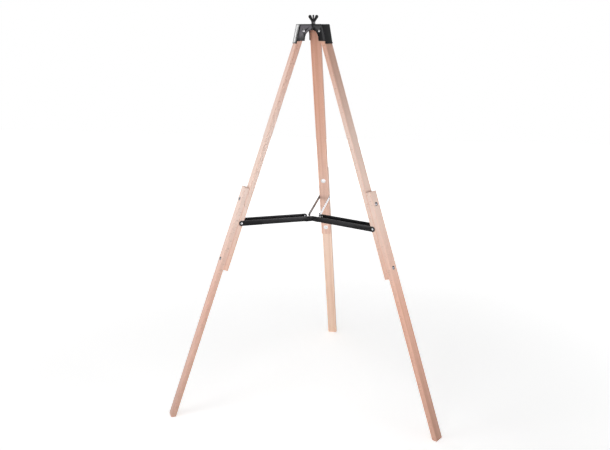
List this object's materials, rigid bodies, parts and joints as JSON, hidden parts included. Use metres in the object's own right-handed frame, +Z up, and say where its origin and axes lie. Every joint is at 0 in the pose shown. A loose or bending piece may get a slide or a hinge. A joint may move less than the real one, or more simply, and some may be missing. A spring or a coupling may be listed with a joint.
{
  "type": "tripod easel stand",
  "caption": "Folding wooden tripod easel stand with lapped legs, a folded steel head with a wing nut on a stud, and a fold-up steel spreader.",
  "frame": {"origin": "on the floor, at the centre of the open stand's outline", "axes": "+Z up; the two front legs face -Y and the rear leg stands at +Y"},
  "size_m": [1.1846, 1.0264, 1.686],
  "materials": {
    "black_paint": "semi-gloss black paint on folded sheet steel",
    "black_nut": "satin black coated casting",
    "black_steel": "black oxide steel",
    "beech_upper": "planed beech with a thin clear finish",
    "beech_lower": "planed beech with a thin clear finish",
    "zinc_bar": "zinc plated flat bar",
    "zinc_hardware": "bright zinc plated fasteners"
  },
  "bodies": {
    "head": {"head_bracket": "black_paint", "head_stud": "black_steel", "stud_washers": "black_steel", "stud_lock_nut": "black_steel", "head_pivot_bolts": "zinc_hardware", "head_pivot_nuts": "zinc_hardware"},
    "wing_nut": {"wing_nut": "black_nut"},
    "left_leg": {"upper_leg_left": "beech_upper", "lower_leg_left": "beech_lower", "leg_bolts_left": "zinc_hardware", "leg_washers_left": "zinc_hardware", "leg_nuts_left": "zinc_hardware"},
    "right_leg": {"upper_leg_right": "beech_upper", "lower_leg_right": "beech_lower", "leg_bolts_right": "zinc_hardware", "leg_washers_right": "zinc_hardware", "leg_nuts_right": "zinc_hardware"},
    "rear_leg": {"upper_leg_rear": "beech_upper", "lower_leg_rear": "beech_lower", "leg_bolts_rear": "zinc_hardware", "leg_washers_rear": "zinc_hardware", "leg_nuts_rear": "zinc_hardware"},
    "hub": {"spreader_hub": "black_paint", "hub_pins": "zinc_hardware"},
    "left_arm": {"arm_left": "black_paint", "arm_screws_left": "zinc_hardware"},
    "right_arm": {"arm_right": "black_paint", "arm_screws_right": "zinc_hardware"},
    "rear_struts": {"strut_rear_left": "zinc_bar", "strut_rear_right": "zinc_bar", "strut_screws_rear": "zinc_hardware"}
  },
  "joints": [
    {"name": "left_leg_fold", "type": "hinge", "parent": "head", "child": "left_leg", "pos_m": [-0.04287, -0.18332, 1.6235], "axis": [0.5, -0.866, 0], "range_deg": [0, 17]},
    {"name": "right_leg_fold", "type": "hinge", "parent": "head", "child": "right_leg", "pos_m": [0.04287, -0.18332, 1.6235], "axis": [0.5, 0.866, 0], "range_deg": [0, 17]},
    {"name": "rear_leg_fold", "type": "hinge", "parent": "head", "child": "rear_leg", "pos_m": [0, -0.10908, 1.6235], "axis": [-1, 0, 0], "range_deg": [0, 17]},
    {"name": "hub_lift", "type": "slide", "parent": "head", "child": "hub", "axis": [0, 0, 1], "range_m": [0, 0.2532]},
    {"name": "left_arm_fold", "type": "hinge", "parent": "hub", "child": "left_arm", "pos_m": [-0.02771, -0.17458, 0.83714], "axis": [0.5, -0.866, 0], "range_deg": [0, 80.33]},
    {"name": "right_arm_fold", "type": "hinge", "parent": "hub", "child": "right_arm", "pos_m": [0.02771, -0.17458, 0.83714], "axis": [0.5, 0.866, 0], "range_deg": [0, 80.33]},
    {"name": "rear_strut_fold", "type": "hinge", "parent": "hub", "child": "rear_struts", "pos_m": [0, -0.12657, 0.83714], "axis": [-1, 0, 0], "range_deg": [0, 80.33]},
    {"name": "wing_nut_turn", "type": "hinge", "parent": "head", "child": "wing_nut", "pos_m": [0, -0.15857, 1.65], "axis": [0, 0, 1], "continuous": true}
  ],
  "couplings": [
    {"joint": "right_leg_fold", "follows": "left_leg_fold", "ratio": 1},
    {"joint": "rear_leg_fold", "follows": "left_leg_fold", "ratio": 1},
    {"joint": "hub_lift", "follows": "left_leg_fold", "m_per_rad": 0.85273},
    {"joint": "left_arm_fold", "follows": "left_leg_fold", "ratio": 4.7238},
    {"joint": "right_arm_fold", "follows": "left_leg_fold", "ratio": 4.7238},
    {"joint": "rear_strut_fold", "follows": "left_leg_fold", "ratio": 4.7238}
  ]
}
